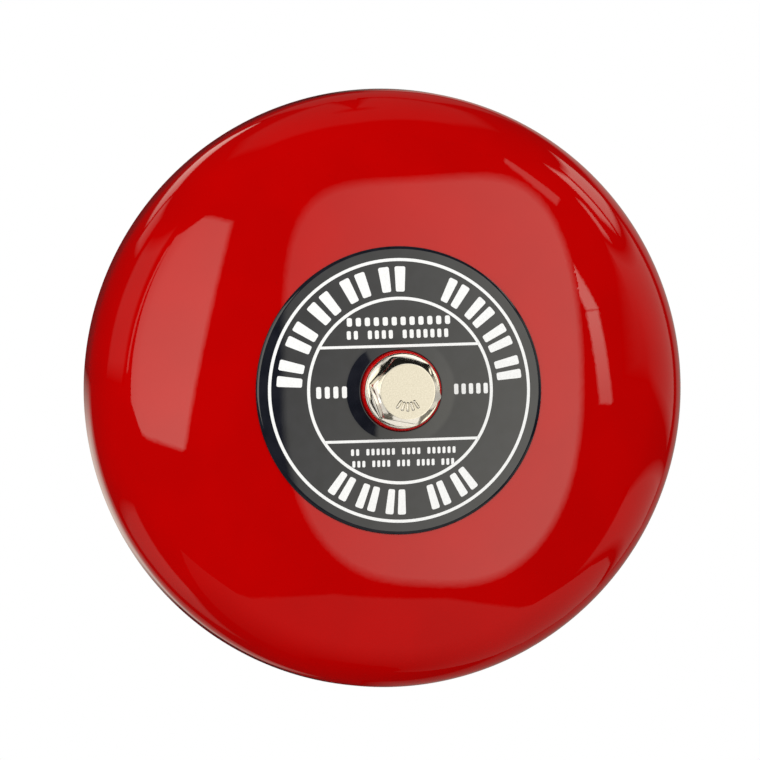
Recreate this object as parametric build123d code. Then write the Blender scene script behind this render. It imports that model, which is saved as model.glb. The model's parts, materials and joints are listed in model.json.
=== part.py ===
from build123d import *

import math
import os

# Wall-mounted fire alarm bell with a motor-driven striker, millimetres.
#
# Every piece is drawn lying on its back: X to the right, Y up the wall and Z straight out from
# the wall, with the wall at Z = 0 and the bell's axis on Z. on_wall() then stands each piece up
# in the object's own frame, where +Z is up and the bell faces -Y.

# Gong: a shallow dome, a round shoulder and a nearly straight skirt.
RIM_RADIUS = 75.0
RIM_HEIGHT = 15.0
GONG_WALL = 1.6
DOME_RADIUS = 200.0
SHOULDER_RADIUS = 16.0
SKIRT_LENGTH = 8.0
SKIRT_SLOPE = math.radians(3.0)
BOSS_RADIUS = 9.8
BOSS_RISE = 2.5
BOSS_EDGE = 0.5
GONG_BORE = 4.4

# Circles that the dome and the shoulder are struck from.
SHOULDER_TURN = math.pi / 2 - SKIRT_SLOPE
SHOULDER_CENTRE = (
    RIM_RADIUS - SKIRT_LENGTH * math.tan(SKIRT_SLOPE) - SHOULDER_RADIUS * math.sin(SHOULDER_TURN),
    RIM_HEIGHT + SKIRT_LENGTH - SHOULDER_RADIUS * math.cos(SHOULDER_TURN),
)
DOME_TURN = math.asin(SHOULDER_CENTRE[0] / (DOME_RADIUS - SHOULDER_RADIUS))
DOME_CENTRE = SHOULDER_CENTRE[1] - (DOME_RADIUS - SHOULDER_RADIUS) * math.cos(DOME_TURN)
CROWN = DOME_CENTRE + DOME_RADIUS
BOSS_TOP = CROWN + BOSS_RISE

# Label disc stuck on the dome.
LABEL_RADIUS = 35.5
LABEL_HOLE = 10.0
LABEL_THICK = 0.4

# Flanged hex bolt and the thin washer under it.
WASHER_RADIUS = 9.3
WASHER_THICK = 0.9
WASHER_BORE = 4.3
BOLT_RADIUS = 4.0
BOLT_LENGTH = 18.0
HEX_FLATS = 15.0
HEAD_FLAT_RADIUS = 6.75
HEX_TURN = -10.0
HEAD_HEIGHT = 8.5
FLANGE_RADIUS = 9.1
FLANGE_EDGE = 0.9
FLANGE_RISE = 1.3

# Housing: a flat mounting plate that carries the mechanism, and a round wall on it.
FLANGE_OUTER = 66.0
FLOOR = 4.0
HOUSING_OUTER = 52.0
HOUSING_INNER = 49.0
WALL_TOP = 26.5
MOUNT_CIRCLE = 121.6
MOUNT_HOLE = 2.6
MOUNT_ANGLES = (45.0, 135.0, 225.0, 315.0)
SCREW_CIRCLE = 46.0
SCREW_ANGLES = (40.0, 140.0, 220.0, 320.0)
SCREW_BOSS = 3.5
SCREW_RADIUS = 1.5
RING_SCREW_HEAD = 2.9
RING_SCREW_SINK = 2.2
RING_SCREW_GRIP = 6.0
GROOVE = (53.0, 56.5, 1.5)
COVER_SEAL = 1.0
COVER_THICK = 2.0
COVER_TOP = WALL_TOP + COVER_SEAL + COVER_THICK

# Post that carries the gong.
POST_RADIUS = 8.0
POST_NECK = 7.0
POST_SPIGOT = 5.0
POST_BOSS = 11.0
POST_SEAT = 8.0
THREAD_BORE = 4.1
THREAD_DEPTH = 17.0
SEAT_WASHER = 1.5
POST_TOP = BOSS_TOP - GONG_WALL - SEAT_WASHER

# Motor, standing on the floor below the post.
MOTOR_Y = -27.0
MOTOR_RADIUS = 12.2
MOTOR_LENGTH = 12.3
CAN_WALL = 0.5
MOTOR_TOP = FLOOR + MOTOR_LENGTH
MOTOR_NOSE = 1.0
MAGNET_INNER = 9.4
CORE_RADIUS = 9.0
SHAFT_RADIUS = 1.0
BEARING_BORE = 1.05
BEARING_RADIUS = 2.5
POLES = 3

# Cam on the shaft, and the striker that it drives down against the skirt of the gong.
STRIKE_HEIGHT = 21.0
CAM_RADIUS = 4.0
CAM_THROW = 1.5
CAM_THICK = 5.0
CAM_GAP = 0.3
TAPPET_RADIUS = 3.8
TAPPET_THICK = 1.5
TAPPET_Y = MOTOR_Y - CAM_RADIUS - CAM_THROW - CAM_GAP
ROD_RADIUS = 2.0
ROD_END_Y = -64.0
BUSH_BORE = 2.05
BUSH_RADIUS = 4.5
BUSH_INNER_Y = -47.0
BUSH_OUTER_Y = -54.0
SEAL_THICK = 1.5
TIP_RADIUS = 3.0
TIP_BACK_Y = -60.5
TIP_FRONT_Y = -69.7

# Return spring round the rod, between the tappet and the bush.
SPRING_WIRE = 0.35
SPRING_RADIUS = 3.0
SPRING_TURNS = 7

# Circuit board in the upper half of the housing.
BOARD_CENTRE = (-7.0, 28.0)
BOARD_SIZE = (38.0, 20.0)
BOARD_BACK = 8.0
BOARD_THICK = 1.6
BOARD_FRONT = BOARD_BACK + BOARD_THICK
BOARD_HOLES = [
    (BOARD_CENTRE[0] + side * 16.0, BOARD_CENTRE[1] + side * 7.0)
    for side in (-1, 1)
]
TERMINAL_X = 2.0
TERMINAL_PITCH = 5.0
TERMINAL_WAYS = (-1, 0, 1)

# Grommet for the cable, which comes in through the wall side of the housing.
GROMMET_CENTRE = (25.0, 17.0)
GROMMET_HOLE = 6.0
CABLE_RADIUS = 3.5

# Wires from the board to the motor.
WIRE_RADIUS = 0.6
TAB_ANGLES = (120.0, 60.0)
TAB_HEIGHT = 6.0


def rod(radius, low, high, x=0.0, y=0.0):
    """Round bar standing out from the wall, from height low to height high."""
    bar = Cylinder(radius, high - low, align=(Align.CENTER, Align.CENTER, Align.MIN))
    return Pos(x, y, low) * bar


def tube(outer, inner, low, high, x=0.0, y=0.0):
    """Round tube standing out from the wall."""
    return rod(outer, low, high, x, y) - rod(inner, low, high, x, y)


def block(size_x, size_y, low, high, x=0.0, y=0.0):
    """Rectangular block standing out from the wall, centred on (x, y)."""
    shape = Box(size_x, size_y, high - low, align=(Align.CENTER, Align.CENTER, Align.MIN))
    return Pos(x, y, low) * shape


def turned(*corners):
    """Solid of revolution about the bell's axis, from (radius, height) corners."""
    return revolve(Plane.XZ * make_face(Polyline(*corners, close=True)), Axis.Z)


def turned_curve(*edges):
    """Solid of revolution about the bell's axis, from a closed run of edges."""
    return revolve(Plane.XZ * make_face(edges), Axis.Z)


def striker_bar(radius, back_y, front_y):
    """Round bar on the striker's line, from back_y down to front_y."""
    bar = Cylinder(radius, back_y - front_y, align=(Align.CENTER, Align.CENTER, Align.MIN))
    return Pos(0, back_y, STRIKE_HEIGHT) * Rot(90, 0, 0) * bar


def around(circle, angle):
    """Point on a circle of that radius about the bell's axis."""
    turn = math.radians(angle)
    return circle * math.cos(turn), circle * math.sin(turn)


def pan_screw(x, y, seat, grip, radius=SCREW_RADIUS, head=2.8, head_height=2.0):
    """Cross-recessed pan head screw: its head stands on seat and its shank goes grip below it."""
    cap = rod(head, seat, seat + head_height, x, y)
    cap = fillet(cap.edges().group_by(Axis.Z)[-1], head_height * 0.4)
    slot_depth = head_height * 0.55
    cross = block(head * 1.1, 0.6, seat + head_height - slot_depth, seat + head_height, x, y)
    cross += block(0.6, head * 1.1, seat + head_height - slot_depth, seat + head_height, x, y)
    return cap + rod(radius, seat - grip, seat, x, y) - cross


def dome_point(radius, inset=0.0):
    """Point of the dome's face at that distance from the axis, inset towards the wall."""
    rise = DOME_RADIUS - inset
    return radius, DOME_CENTRE + math.sqrt(rise * rise - radius * radius)


def dome_arc(start, end, inset=0.0):
    """Arc of the dome between two distances from the axis."""
    middle = (start + end) / 2
    return ThreePointArc(dome_point(start, inset), dome_point(middle, inset), dome_point(end, inset))


def shoulder_point(turn, inset=0.0):
    """Point of the shoulder where the surface has turned that far from facing straight out."""
    radius = SHOULDER_RADIUS - inset
    return (
        SHOULDER_CENTRE[0] + radius * math.sin(turn),
        SHOULDER_CENTRE[1] + radius * math.cos(turn),
    )


def shoulder_arc(inset=0.0):
    """Arc of the shoulder from the dome to the skirt."""
    middle = (DOME_TURN + SHOULDER_TURN) / 2
    turns = (DOME_TURN, middle, SHOULDER_TURN)
    return ThreePointArc(*[shoulder_point(turn, inset) for turn in turns])


def gong():
    """Pressed steel gong with a raised boss in the middle and a rounded rim."""
    dome_end = shoulder_point(DOME_TURN)[0]
    inner_end = shoulder_point(DOME_TURN, GONG_WALL)[0]
    boss_inner = BOSS_RADIUS - GONG_WALL
    ceiling = BOSS_TOP - GONG_WALL
    rim_outer = (RIM_RADIUS, RIM_HEIGHT)
    rim_inner = (RIM_RADIUS - GONG_WALL / math.cos(SKIRT_SLOPE), RIM_HEIGHT)
    rim_low = (RIM_RADIUS - GONG_WALL / 2, RIM_HEIGHT - GONG_WALL / 2)
    edge_start = (BOSS_RADIUS - BOSS_EDGE, BOSS_TOP)
    edge_end = (BOSS_RADIUS, BOSS_TOP - BOSS_EDGE)
    outside = [
        Line((GONG_BORE, BOSS_TOP), edge_start),
        TangentArc(edge_start, edge_end, tangent=(1, 0)),
        Line(edge_end, dome_point(BOSS_RADIUS)),
        dome_arc(BOSS_RADIUS, dome_end),
        shoulder_arc(),
        Line(shoulder_point(SHOULDER_TURN), rim_outer),
    ]
    inside = [
        ThreePointArc(rim_outer, rim_low, rim_inner),
        Line(rim_inner, shoulder_point(SHOULDER_TURN, GONG_WALL)),
        shoulder_arc(GONG_WALL),
        dome_arc(boss_inner, inner_end, GONG_WALL),
        Line(dome_point(boss_inner, GONG_WALL), (boss_inner, ceiling)),
        Line((boss_inner, ceiling), (GONG_BORE, ceiling)),
        Line((GONG_BORE, ceiling), (GONG_BORE, BOSS_TOP)),
    ]
    return turned_curve(*outside, *inside)


def label_disc():
    """Printed disc that follows the dome round the boss."""
    return turned_curve(
        dome_arc(LABEL_HOLE, LABEL_RADIUS),
        Line(dome_point(LABEL_RADIUS), dome_point(LABEL_RADIUS, -LABEL_THICK)),
        dome_arc(LABEL_HOLE, LABEL_RADIUS, -LABEL_THICK),
        Line(dome_point(LABEL_HOLE, -LABEL_THICK), dome_point(LABEL_HOLE)),
    )


def bolt_washer():
    """Thin plain washer between the boss and the bolt."""
    return tube(WASHER_RADIUS, WASHER_BORE, BOSS_TOP, BOSS_TOP + WASHER_THICK)


def hex_bolt():
    """Bolt with a hexagon head on a sloping round flange."""
    seat = BOSS_TOP + WASHER_THICK
    top = seat + HEAD_HEIGHT
    corner = HEX_FLATS / math.sqrt(3)
    flange = turned(
        (0, seat),
        (FLANGE_RADIUS, seat),
        (FLANGE_RADIUS, seat + FLANGE_EDGE),
        (HEX_FLATS / 2, seat + FLANGE_RISE),
        (0, seat + FLANGE_RISE),
    )
    hexagon = RegularPolygon(corner, 6, rotation=HEX_TURN)
    prism = Pos(0, 0, seat) * extrude(hexagon, HEAD_HEIGHT)
    crown_fall = (corner - HEAD_FLAT_RADIUS) * math.tan(math.radians(30.0))
    crown = turned(
        (0, seat),
        (corner, seat),
        (corner, top - crown_fall),
        (HEAD_FLAT_RADIUS, top),
        (0, top),
    )
    tip = seat - BOLT_LENGTH
    shank = turned(
        (0, tip),
        (BOLT_RADIUS - 0.8, tip),
        (BOLT_RADIUS, tip + 0.8),
        (BOLT_RADIUS, seat),
        (0, seat),
    )
    return flange + (prism & crown) + shank


def gong_seat_washer():
    """Rubber washer that the gong rests on, inside its boss."""
    outer = BOSS_RADIUS - GONG_WALL - 0.2
    return tube(outer, GONG_BORE, POST_TOP, POST_TOP + SEAT_WASHER)


def gong_post():
    """Turned steel post with a threaded bore for the bolt, pressed into the housing."""
    shoulder = COVER_TOP + 6.0
    post = turned(
        (0, 1.5),
        (POST_SPIGOT, 1.5),
        (POST_SPIGOT, POST_SEAT),
        (POST_RADIUS, POST_SEAT),
        (POST_RADIUS, shoulder),
        (POST_NECK, shoulder + POST_RADIUS - POST_NECK),
        (POST_NECK, POST_TOP - 0.5),
        (POST_NECK - 0.5, POST_TOP),
        (0, POST_TOP),
    )
    return post - rod(THREAD_BORE, POST_TOP - THREAD_DEPTH, POST_TOP)


def strap_feet():
    """Centres of the two screws that hold the motor strap."""
    reach = MOTOR_RADIUS + 5.3
    return [(-reach, MOTOR_Y), (reach, MOTOR_Y)]


def mounting_plate():
    """Flat round back plate with the wall holes, the post's boss and the board's standoffs."""
    body = turned(
        (0, 0),
        (FLANGE_OUTER, 0),
        (FLANGE_OUTER, FLOOR - 1.2),
        (FLANGE_OUTER - 1.2, FLOOR),
        (0, FLOOR),
    )
    body += rod(POST_BOSS, FLOOR, POST_SEAT)
    for x, y in BOARD_HOLES:
        body += rod(2.6, FLOOR, BOARD_BACK, x, y)
        body -= rod(1.1, FLOOR - 2.0, BOARD_BACK, x, y)
    body -= rod(POST_SPIGOT, 1.5, POST_SEAT)
    for x, y in strap_feet():
        body -= rod(SCREW_RADIUS, 0.8, FLOOR, x, y)
    for angle in SCREW_ANGLES:
        x, y = around(SCREW_CIRCLE, angle)
        body -= rod(SCREW_RADIUS, 0, FLOOR, x, y)
        body -= rod(RING_SCREW_HEAD, 0, RING_SCREW_SINK, x, y)
    for angle in MOUNT_ANGLES:
        x, y = around(MOUNT_CIRCLE / 2, angle)
        body -= rod(MOUNT_HOLE, 0, FLOOR, x, y)
    body -= rod(GROMMET_HOLE, 0, FLOOR, *GROMMET_CENTRE)
    inner, outer, depth = GROOVE
    return body - tube(outer, inner, 0, depth)


def housing_ring():
    """Die-cast round wall of the housing, with a screw boss at each corner and the bush's boss."""
    low = FLOOR + COVER_SEAL
    high = WALL_TOP
    body = tube(HOUSING_OUTER, HOUSING_INNER, low, high)
    for angle in SCREW_ANGLES:
        x, y = around(SCREW_CIRCLE, angle)
        body += rod(SCREW_BOSS, FLOOR, high + COVER_SEAL, x, y)
    body += striker_bar(BUSH_RADIUS + 1.0, BUSH_INNER_Y, -HOUSING_INNER - 1.5)
    for angle in SCREW_ANGLES:
        x, y = around(SCREW_CIRCLE, angle)
        body -= rod(SCREW_RADIUS, high - 8.0, high + COVER_SEAL, x, y)
        body -= rod(SCREW_RADIUS, FLOOR, FLOOR + RING_SCREW_GRIP, x, y)
    return body - striker_bar(BUSH_RADIUS, BUSH_INNER_Y, BUSH_OUTER_Y)


def ring_screws():
    """Four screws from the back of the plate into the ring, their heads sunk in the wall face."""
    screws = []
    for angle in SCREW_ANGLES:
        x, y = around(SCREW_CIRCLE, angle)
        screw = rod(RING_SCREW_HEAD, 0.4, RING_SCREW_SINK, x, y)
        screw += rod(SCREW_RADIUS, RING_SCREW_SINK, FLOOR + RING_SCREW_GRIP, x, y)
        screws.append(screw - block(4.0, 0.7, 0.4, 1.1, x, y) - block(0.7, 4.0, 0.4, 1.1, x, y))
    return screws


def ring_gasket():
    """Rubber ring between the plate and the housing's wall."""
    return seal_ring(FLOOR)


def wall_gasket():
    """Rubber ring in the groove of the wall face."""
    inner, outer, depth = GROOVE
    return tube(outer, inner, 0, depth)


def cable_grommet():
    """Rubber grommet in the floor, with a bore for the supply cable."""
    x, y = GROMMET_CENTRE
    body = rod(GROMMET_HOLE, 0, FLOOR, x, y)
    body += rod(GROMMET_HOLE + 1.8, FLOOR, FLOOR + 1.6, x, y)
    return body - rod(CABLE_RADIUS, 0, FLOOR + 1.6, x, y)


def seal_ring(low):
    """Flat rubber ring of the housing wall's outer size, outside the screw bosses."""
    return tube(HOUSING_OUTER, SCREW_CIRCLE + SCREW_BOSS + 0.1, low, low + COVER_SEAL)


def cover_gasket():
    """Rubber ring between the housing's wall and the cover."""
    return seal_ring(WALL_TOP)


def mechanism_cover():
    """Moulded cover over the mechanism, with stiffening rings and a collar round the post."""
    low = WALL_TOP + COVER_SEAL
    body = rod(HOUSING_OUTER, low, COVER_TOP)
    body = chamfer(body.edges().group_by(Axis.Z)[-1], 0.8)
    body += rod(POST_RADIUS + 4.0, COVER_TOP, COVER_TOP + 1.5)
    for radius in (22.0, 34.0):
        body += tube(radius, radius - 1.5, COVER_TOP, COVER_TOP + 0.8)
    for angle in SCREW_ANGLES:
        x, y = around(SCREW_CIRCLE, angle)
        body -= rod(SCREW_RADIUS + 0.1, low, COVER_TOP, x, y)
    body -= rod(POST_RADIUS + 0.1, low, COVER_TOP + 1.5)
    return body - rod(POST_RADIUS + 1.6, low, low + 1.8)


def post_seal():
    """Rubber ring that closes the gap between the cover and the post."""
    low = WALL_TOP + COVER_SEAL
    return tube(POST_RADIUS + 1.6, POST_RADIUS, low, low + 1.8)


def cover_screws():
    """Four screws that hold the cover."""
    return [pan_screw(*around(SCREW_CIRCLE, angle), COVER_TOP, 9.0) for angle in SCREW_ANGLES]


def motor_can():
    """Drawn steel can, open towards the wall, with a nose for the front bearing."""
    body = rod(MOTOR_RADIUS, FLOOR, MOTOR_TOP, 0, MOTOR_Y)
    body = fillet(body.edges().group_by(Axis.Z)[-1], 1.0)
    body -= rod(MOTOR_RADIUS - CAN_WALL, FLOOR, MOTOR_TOP - CAN_WALL, 0, MOTOR_Y)
    body += rod(BEARING_RADIUS + 0.7, MOTOR_TOP - CAN_WALL, MOTOR_TOP + MOTOR_NOSE, 0, MOTOR_Y)
    body -= rod(BEARING_RADIUS, MOTOR_TOP - CAN_WALL, MOTOR_TOP + MOTOR_NOSE, 0, MOTOR_Y)
    for angle in TAB_ANGLES:
        body -= tab(angle, 1.0)
    return body


def tab(angle, clearance=0.0):
    """Flat terminal tab that stands out of the motor's side."""
    length = 6.0
    shape = Box(length, 2.0 + clearance, 0.5 + clearance)
    return Pos(0, MOTOR_Y, TAB_HEIGHT) * Rot(0, 0, angle) * Pos(MOTOR_RADIUS, 0, 0) * shape


def motor_end_cap():
    """Moulded cap that closes the can and holds the rear bearing and the brushes."""
    inner = MOTOR_RADIUS - CAN_WALL
    body = rod(inner, FLOOR, FLOOR + 1.5, 0, MOTOR_Y)
    body += rod(BEARING_RADIUS + 1.0, FLOOR, FLOOR + 2.3, 0, MOTOR_Y)
    return body - rod(BEARING_RADIUS, FLOOR + 0.5, FLOOR + 2.3, 0, MOTOR_Y)


def motor_rear_bearing():
    """Sintered bush in the end cap."""
    return tube(BEARING_RADIUS, BEARING_BORE, FLOOR + 0.5, FLOOR + 2.3, 0, MOTOR_Y)


def motor_front_bearing():
    """Sintered bush in the nose of the can."""
    return tube(BEARING_RADIUS, BEARING_BORE, MOTOR_TOP - CAN_WALL, MOTOR_TOP + MOTOR_NOSE, 0, MOTOR_Y)


def motor_magnets():
    """Two arc magnets against the can's wall."""
    low = FLOOR + 4.0
    high = MOTOR_TOP - 1.5
    ring = tube(MOTOR_RADIUS - CAN_WALL, MAGNET_INNER, low, high, 0, MOTOR_Y)
    gap = block(9.0, 40.0, low, high, 0, MOTOR_Y)
    return list((ring - gap).solids())


def motor_brushes():
    """Two leaf brushes, one each side of the commutator, each on a foot beside the bearing."""
    foot = FLOOR + 1.5
    low = FLOOR + 2.3
    high = FLOOR + 4.2
    brushes = []
    for side in (-1, 1):
        leaf = block(0.3, 9.0, low, high, side * 2.65, MOTOR_Y)
        brushes.append(leaf + block(0.3, 1.5, foot, low, side * 2.65, MOTOR_Y - 3.75))
    return brushes


def motor_terminals():
    """Two tabs through slots in the can's wall, one for each wire."""
    return [tab(angle) for angle in TAB_ANGLES]


def armature_core():
    """Laminated three-pole core."""
    low = FLOOR + 5.4
    high = MOTOR_TOP - 2.5
    core = tube(3.0, SHAFT_RADIUS, low, high, 0, MOTOR_Y)
    rim = tube(CORE_RADIUS, CORE_RADIUS - 1.5, low, high, 0, MOTOR_Y)
    for pole in range(POLES):
        turn = Pos(0, MOTOR_Y, 0) * Rot(0, 0, 90 + pole * 360 / POLES)
        core += turn * block(CORE_RADIUS - 3.5, 3.0, low, high, (CORE_RADIUS + 1.5) / 2, 0)
        rim -= turn * block(4.0, 2.5, low, high, -CORE_RADIUS, 0)
    return core + rim


def armature_windings():
    """Three copper coils, each wound round one pole of the core."""
    low = FLOOR + 4.7
    high = MOTOR_TOP - 1.8
    coils = []
    for pole in range(POLES):
        turn = Pos(0, MOTOR_Y, 0) * Rot(0, 0, 90 + pole * 360 / POLES)
        coil = block(2.8, 5.6, low, high, 5.4, 0) - block(2.8, 3.0, low + 0.7, high - 0.7, 5.4, 0)
        coils.append(turn * coil)
    return coils


def commutator():
    """Copper sleeve on the shaft, cut into three segments that the brushes touch in turn."""
    low = FLOOR + 2.6
    body = tube(2.2, SHAFT_RADIUS, low, low + 2.0, 0, MOTOR_Y)
    for pole in range(POLES):
        turn = Pos(0, MOTOR_Y, 0) * Rot(0, 0, 30 + pole * 360 / POLES)
        body -= turn * block(0.7, 0.3, low, low + 2.0, 2.0, 0)
    return body


def motor_shaft():
    """Steel shaft through both bearings."""
    return rod(SHAFT_RADIUS, FLOOR + 0.6, STRIKE_HEIGHT + CAM_THICK / 2 + 1.0, 0, MOTOR_Y)


def eccentric_cam():
    """Round cam set off centre on the shaft, its high side away from the striker at rest."""
    low = STRIKE_HEIGHT - CAM_THICK / 2
    cam = rod(CAM_RADIUS, low, low + CAM_THICK, 0, MOTOR_Y + CAM_THROW)
    cam = chamfer(cam.edges().filter_by(GeomType.CIRCLE), 0.4)
    return cam - rod(SHAFT_RADIUS, low, low + CAM_THICK, 0, MOTOR_Y)


def motor_strap():
    """Bent steel strap over the motor, with a hole for its nose and a foot at each end."""
    width = 8.0
    thick = 0.8
    top = MOTOR_TOP
    leg = MOTOR_RADIUS + 0.2
    foot_end = leg + 9.6
    outline = Polyline(
        (-foot_end, FLOOR),
        (-leg, FLOOR),
        (-leg, top),
        (leg, top),
        (leg, FLOOR),
        (foot_end, FLOOR),
        (foot_end, FLOOR + thick),
        (leg + thick, FLOOR + thick),
        (leg + thick, top + thick),
        (-leg - thick, top + thick),
        (-leg - thick, FLOOR + thick),
        (-foot_end, FLOOR + thick),
        close=True,
    )
    strap = Pos(0, MOTOR_Y, 0) * extrude(Plane.XZ * make_face(outline), width / 2, both=True)
    strap -= rod(BEARING_RADIUS + 1.1, top, top + thick, 0, MOTOR_Y)
    for x, y in strap_feet():
        strap -= rod(SCREW_RADIUS, FLOOR, FLOOR + thick, x, y)
    return strap


def strap_screws():
    """Two screws through the feet of the strap."""
    return [pan_screw(x, y, FLOOR + 0.8, 3.8) for x, y in strap_feet()]


def striker_plunger():
    """Steel rod with a flat tappet head that the cam pushes."""
    head = striker_bar(TAPPET_RADIUS, TAPPET_Y, TAPPET_Y - TAPPET_THICK)
    head = chamfer(head.edges().filter_by(GeomType.CIRCLE), 0.3)
    return head + striker_bar(ROD_RADIUS, TAPPET_Y - TAPPET_THICK, ROD_END_Y)


def striker_tip():
    """Round-nosed hammer on the end of the rod."""
    nose_y = TIP_FRONT_Y + TIP_RADIUS
    tip = striker_bar(TIP_RADIUS, TIP_BACK_Y, nose_y)
    tip += Pos(0, nose_y, STRIKE_HEIGHT) * Sphere(TIP_RADIUS)
    return tip - striker_bar(ROD_RADIUS, TIP_BACK_Y, ROD_END_Y)


def striker_bush():
    """Plain bush in the housing's wall that guides the striker."""
    bush = striker_bar(BUSH_RADIUS, BUSH_INNER_Y, BUSH_OUTER_Y)
    return bush - striker_bar(BUSH_BORE, BUSH_INNER_Y, BUSH_OUTER_Y)


def striker_seal():
    """Rubber wiper ring on the outside of the bush."""
    ring = striker_bar(BUSH_RADIUS, BUSH_OUTER_Y, BUSH_OUTER_Y - SEAL_THICK)
    return ring - striker_bar(ROD_RADIUS + 0.1, BUSH_OUTER_Y, BUSH_OUTER_Y - SEAL_THICK)


def return_spring():
    """Compression spring round the rod that pulls the striker back off the gong."""
    start_y = TAPPET_Y - TAPPET_THICK - SPRING_WIRE
    length = start_y - BUSH_INNER_Y - SPRING_WIRE
    path = Helix(length / SPRING_TURNS, length, SPRING_RADIUS)
    section = Plane(path @ 0, z_dir=path % 0) * Circle(SPRING_WIRE)
    coil = sweep(section, path=path, is_frenet=True)
    return Pos(0, start_y, STRIKE_HEIGHT) * Rot(90, 0, 0) * coil


def circuit_board():
    """Glass-fibre board with a hole at each fixing screw."""
    body = block(*BOARD_SIZE, BOARD_BACK, BOARD_FRONT, *BOARD_CENTRE)
    body = fillet(body.edges().filter_by(Axis.Z), 1.5)
    for x, y in BOARD_HOLES:
        body -= rod(1.1, BOARD_BACK, BOARD_FRONT, x, y)
    return body


def board_screws():
    """Two small screws that hold the board on its standoffs."""
    return [pan_screw(x, y, BOARD_FRONT, 6.0, 1.1, 2.0, 1.5) for x, y in BOARD_HOLES]


def terminal_places():
    """Centres of the terminal block's ways."""
    return [(TERMINAL_X + way * TERMINAL_PITCH, BOARD_CENTRE[1] - 3.0) for way in TERMINAL_WAYS]


def terminal_block():
    """Three-way terminal block with a screw well and a wire mouth for each way."""
    x, y = terminal_places()[1]
    top = BOARD_FRONT + 10.0
    body = block(15.4, 8.0, BOARD_FRONT, top, x, y)
    body = chamfer(body.edges().group_by(Axis.Z)[-1], 0.8)
    for way_x, way_y in terminal_places():
        body -= rod(1.9, top - 5.0, top, way_x, way_y)
        body -= block(3.4, 5.0, BOARD_FRONT + 1.5, BOARD_FRONT + 4.4, way_x, way_y - 2.6)
    return body


def terminal_screws():
    """Three slotted clamp screws in the wells of the terminal block."""
    low = BOARD_FRONT + 5.0
    screws = []
    for x, y in terminal_places():
        screws.append(rod(1.9, low, low + 2.6, x, y) - block(3.8, 0.6, low + 1.8, low + 2.6, x, y))
    return screws


def polarity_diode():
    """Axial diode lying on the board, with its two leads bent down to it."""
    x = BOARD_CENTRE[0] - 9.0
    y = BOARD_CENTRE[1] + 5.0
    height = BOARD_FRONT + 1.6
    body = Pos(x, y, height) * Rot(0, 90, 0) * Cylinder(1.4, 5.0)
    body += Pos(x, y, height) * Rot(0, 90, 0) * Cylinder(0.4, 10.0)
    for side in (-5.0, 5.0):
        body += rod(0.4, BOARD_FRONT, height, x + side, y)
        body += Pos(x + side, y, height) * Sphere(0.4)
    return body


def suppression_capacitor():
    """Upright electrolytic capacitor that smooths the motor's supply."""
    x = BOARD_CENTRE[0] - 9.0
    y = BOARD_CENTRE[1] - 4.0
    body = rod(4.0, BOARD_FRONT, BOARD_FRONT + 11.0, x, y)
    return fillet(body.edges().filter_by(GeomType.CIRCLE), 0.7)


def surge_varistor():
    """Disc varistor standing on edge across the supply."""
    x = BOARD_CENTRE[0] + 9.0
    y = BOARD_CENTRE[1] + 6.5
    disc = Pos(x - 3.0, y, BOARD_FRONT + 4.2) * Rot(90, 0, 0) * Cylinder(3.5, 2.4)
    disc = fillet(disc.edges().filter_by(GeomType.CIRCLE), 0.8)
    for side in (-2.0, 2.0):
        disc += rod(0.35, BOARD_FRONT, BOARD_FRONT + 3.0, x - 3.0 + side, y)
    return disc


def motor_lead(side):
    """Insulated wire from a pad on the board, past the post, to one of the motor's tabs."""
    pad_y = BOARD_CENTRE[1] - BOARD_SIZE[1] / 2 + 2.0
    tab_x, tab_y = around(MOTOR_RADIUS + 2.2, 90.0 - side * 30.0)
    tab_y += MOTOR_Y
    low = TAB_HEIGHT + 0.25 + WIRE_RADIUS
    route = FilletPolyline(
        (side * 9.0 - 2.0, pad_y, BOARD_FRONT),
        (side * 9.0 - 2.0, pad_y, BOARD_FRONT + 5.0),
        (side * 13.0, pad_y - 9.0, BOARD_FRONT + 2.5),
        (side * 14.0, -4.0, low + 1.0),
        (tab_x, tab_y, low),
        radius=(2.0, 4.0, 4.0),
    )
    section = Plane(route @ 0, z_dir=route % 0) * Circle(WIRE_RADIUS)
    return sweep(section, path=route)


PIECES = {
    "mounting_plate": mounting_plate,
    "housing_ring": housing_ring,
    "ring_gasket": ring_gasket,
    "ring_screws": ring_screws,
    "wall_gasket": wall_gasket,
    "cable_grommet": cable_grommet,
    "gong_post": gong_post,
    "gong_seat_washer": gong_seat_washer,
    "cover_gasket": cover_gasket,
    "mechanism_cover": mechanism_cover,
    "post_seal": post_seal,
    "cover_screws": cover_screws,
    "motor_can": motor_can,
    "motor_end_cap": motor_end_cap,
    "motor_front_bearing": motor_front_bearing,
    "motor_rear_bearing": motor_rear_bearing,
    "motor_magnets": motor_magnets,
    "motor_brushes": motor_brushes,
    "motor_terminals": motor_terminals,
    "armature_core": armature_core,
    "armature_windings": armature_windings,
    "commutator": commutator,
    "motor_shaft": motor_shaft,
    "eccentric_cam": eccentric_cam,
    "motor_strap": motor_strap,
    "strap_screws": strap_screws,
    "striker_plunger": striker_plunger,
    "striker_tip": striker_tip,
    "striker_bush": striker_bush,
    "striker_seal": striker_seal,
    "return_spring": return_spring,
    "circuit_board": circuit_board,
    "board_screws": board_screws,
    "terminal_block": terminal_block,
    "terminal_screws": terminal_screws,
    "polarity_diode": polarity_diode,
    "suppression_capacitor": suppression_capacitor,
    "surge_varistor": surge_varistor,
    "positive_lead": lambda: motor_lead(-1),
    "negative_lead": lambda: motor_lead(1),
    "gong": gong,
    "label_disc": label_disc,
    "bolt_washer": bolt_washer,
    "hex_bolt": hex_bolt,
}

# The wall plane in the object's frame: its normal, the drawing's +Z, points along -Y.
WALL = Plane(origin=(0, 0, 0), x_dir=(1, 0, 0), z_dir=(0, -1, 0))


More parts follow.
